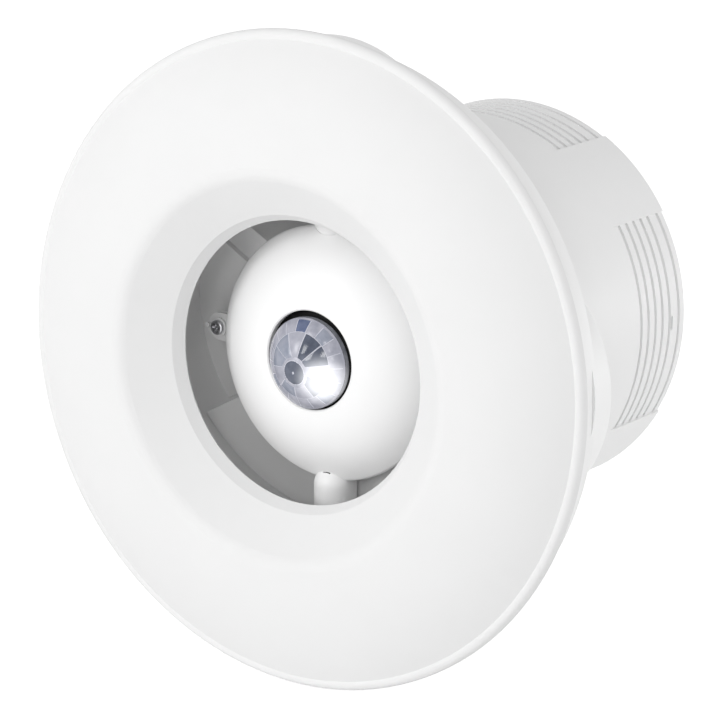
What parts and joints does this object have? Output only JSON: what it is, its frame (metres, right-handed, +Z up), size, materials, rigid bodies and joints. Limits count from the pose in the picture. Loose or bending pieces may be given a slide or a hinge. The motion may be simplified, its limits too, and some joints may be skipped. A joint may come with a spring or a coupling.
{
  "type": "bathroom extractor fan",
  "caption": "Round wall extractor fan with a domed front panel, a sensor lens in its central cap, an axial impeller and motor, and a spigot for a round duct.",
  "frame": {"origin": "centre of the wall plane, on the fan's axis, in the middle of the wall screw circle", "axes": "+Y along the fan's axis into the wall and the duct, the front faces -Y, +Z up, +X to the right as seen from the room"},
  "size_m": [0.158, 0.1045, 0.158],
  "materials": {
    "panel_white": "satin moulded white",
    "housing_white": "satin moulded white",
    "tray_grey_white": "satin moulded light grey",
    "impeller_plastic": "glossy moulded light grey",
    "motor_plastic": "moulded grey",
    "black_plastic": "matt black",
    "lens_plastic": "milky translucent, faceted",
    "green_board": "green solder mask",
    "can_metal": "drawn metal can",
    "red_diffuser": "clear red",
    "zinc_steel": "zinc plated",
    "ground_steel": "ground and polished",
    "rotor_metal": "cast and turned",
    "lamination_steel": "stacked sheets",
    "copper_wire": "enamelled copper",
    "brass_metal": "plated brass",
    "bobbin_plastic": "natural nylon",
    "yellow_plastic": "moulded yellow",
    "blue_plastic": "moulded blue",
    "black_rubber": "soft black",
    "wire_blue": "insulated wire",
    "wire_black": "insulated wire",
    "wire_brown": "insulated wire"
  },
  "bodies": {
    "housing_body": {"fan_housing": "housing_white", "duct_spigot": "housing_white", "sensor_cap": "panel_white", "sensor_bridge": "housing_white", "sensor_tray": "tray_grey_white", "tray_screws": "zinc_steel", "bridge_screws": "zinc_steel", "sensor_board": "green_board", "pir_sensor": "can_metal", "status_led": "red_diffuser", "sensor_lens": "lens_plastic", "lens_holder": "black_plastic", "bearing_front": "ground_steel", "bearing_back": "ground_steel", "motor_cover": "motor_plastic", "motor_bracket": "housing_white", "stator_core": "lamination_steel", "coil_bobbins": "bobbin_plastic", "stator_windings": "copper_wire", "motor_screws": "zinc_steel", "timer_board": "green_board", "board_screws": "zinc_steel", "relay": "black_plastic", "film_capacitor": "yellow_plastic", "board_connector": "bobbin_plastic", "trimmer_bodies": "blue_plastic", "terminal_block": "bobbin_plastic", "terminal_screws": "brass_metal", "cable_clamp": "bobbin_plastic", "clamp_screws": "zinc_steel", "cable_grommet": "black_rubber", "motor_leads": "wire_blue", "sensor_lead": "wire_black", "supply_leads": "wire_brown"},
    "impeller_body": {"impeller": "impeller_plastic", "impeller_clip": "zinc_steel", "motor_shaft": "ground_steel", "rotor_core": "rotor_metal"},
    "panel_body": {"front_panel": "panel_white", "panel_clips": "ground_steel"},
    "delay_trimmer_body": {"delay_trimmer": "bobbin_plastic"},
    "light_trimmer_body": {"light_trimmer": "bobbin_plastic"}
  },
  "joints": [
    {"name": "impeller_spin", "type": "hinge", "parent": "housing_body", "child": "impeller_body", "pos_m": [0, 0.008, 0], "axis": [0, 1, 0], "continuous": true},
    {"name": "panel_pull", "type": "slide", "parent": "housing_body", "child": "panel_body", "axis": [0, -1, 0], "range_m": [0, 0.03]},
    {"name": "delay_trimmer_turn", "type": "hinge", "parent": "housing_body", "child": "delay_trimmer_body", "pos_m": [-0.04632, -0.0146, -0.03429], "axis": [0, 1, 0], "range_deg": [-135, 135]},
    {"name": "light_trimmer_turn", "type": "hinge", "parent": "housing_body", "child": "light_trimmer_body", "pos_m": [-0.05162, -0.0146, -0.02899], "axis": [0, 1, 0], "range_deg": [-135, 135]}
  ]
}
